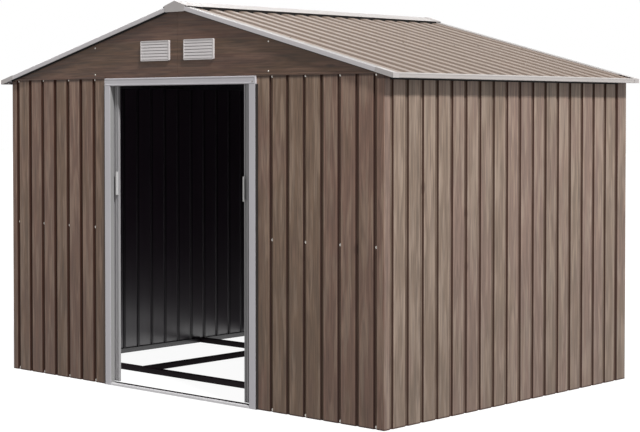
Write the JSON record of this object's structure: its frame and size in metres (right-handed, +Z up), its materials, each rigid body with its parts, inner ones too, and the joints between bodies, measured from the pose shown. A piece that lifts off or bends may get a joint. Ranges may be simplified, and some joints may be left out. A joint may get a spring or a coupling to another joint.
{
  "type": "metal garden shed",
  "caption": "Metal garden shed with an apex roof, wood-print ribbed wall sheets, sliding doors standing open and an open steel floor frame.",
  "frame": {"origin": "on the ground, under the centre of the roof plan", "axes": "+X along the front to the right as seen from outside, +Y from the front towards the back, +Z up"},
  "size_m": [2.76, 1.967, 1.9209],
  "materials": {
    "wall_sheet": "wood-print coated steel, satin",
    "gable_sheet": "dark wood-print coated steel, satin",
    "roof_sheet": "tan coated steel, satin",
    "trim": "light grey coated steel, satin",
    "moulding": "light grey moulded plastic, satin",
    "floor_steel": "near-black coated steel, satin",
    "galvanised": "zinc-coated steel, dull"
  },
  "bodies": {
    "shed": {"floor_rail_front": "floor_steel", "floor_rail_back": "galvanised", "floor_rail_left": "galvanised", "floor_rail_right": "galvanised", "floor_joists": "floor_steel", "floor_bearers": "floor_steel", "corner_front_left": "wall_sheet", "corner_front_right": "wall_sheet", "corner_back_left": "wall_sheet", "corner_back_right": "wall_sheet", "front_wall_left": "wall_sheet", "front_wall_right": "wall_sheet", "left_wall": "wall_sheet", "right_wall": "wall_sheet", "back_wall": "wall_sheet", "front_mid_rails": "galvanised", "top_channel_left": "galvanised", "top_channel_right": "galvanised", "top_channel_back": "galvanised", "front_gable": "gable_sheet", "back_gable": "gable_sheet", "front_vents": "moulding", "back_vents": "moulding", "door_post_left": "trim", "door_post_right": "trim", "door_header": "trim", "door_sill": "trim", "door_track": "galvanised", "ridge_beam": "galvanised", "purlins": "galvanised", "roof_sheet_left": "roof_sheet", "roof_sheet_right": "roof_sheet", "eave_trim_left": "trim", "eave_trim_right": "trim", "front_rake_trims": "trim", "back_rake_trims": "trim", "roof_corners": "moulding", "ridge_cap": "trim", "ridge_end_caps": "moulding"},
    "left_door": {"left_door_panel": "wall_sheet", "left_door_frame": "trim", "left_door_handle": "moulding", "left_door_hangers": "moulding"},
    "right_door": {"right_door_panel": "wall_sheet", "right_door_frame": "trim", "right_door_handle": "moulding", "right_door_hangers": "moulding"}
  },
  "joints": [
    {"name": "left_door_slide", "type": "slide", "parent": "shed", "child": "left_door", "axis": [1, 0, 0], "range_m": [-0.011, 0.4625]},
    {"name": "right_door_slide", "type": "slide", "parent": "shed", "child": "right_door", "axis": [-1, 0, 0], "range_m": [-0.044, 0.43]}
  ]
}
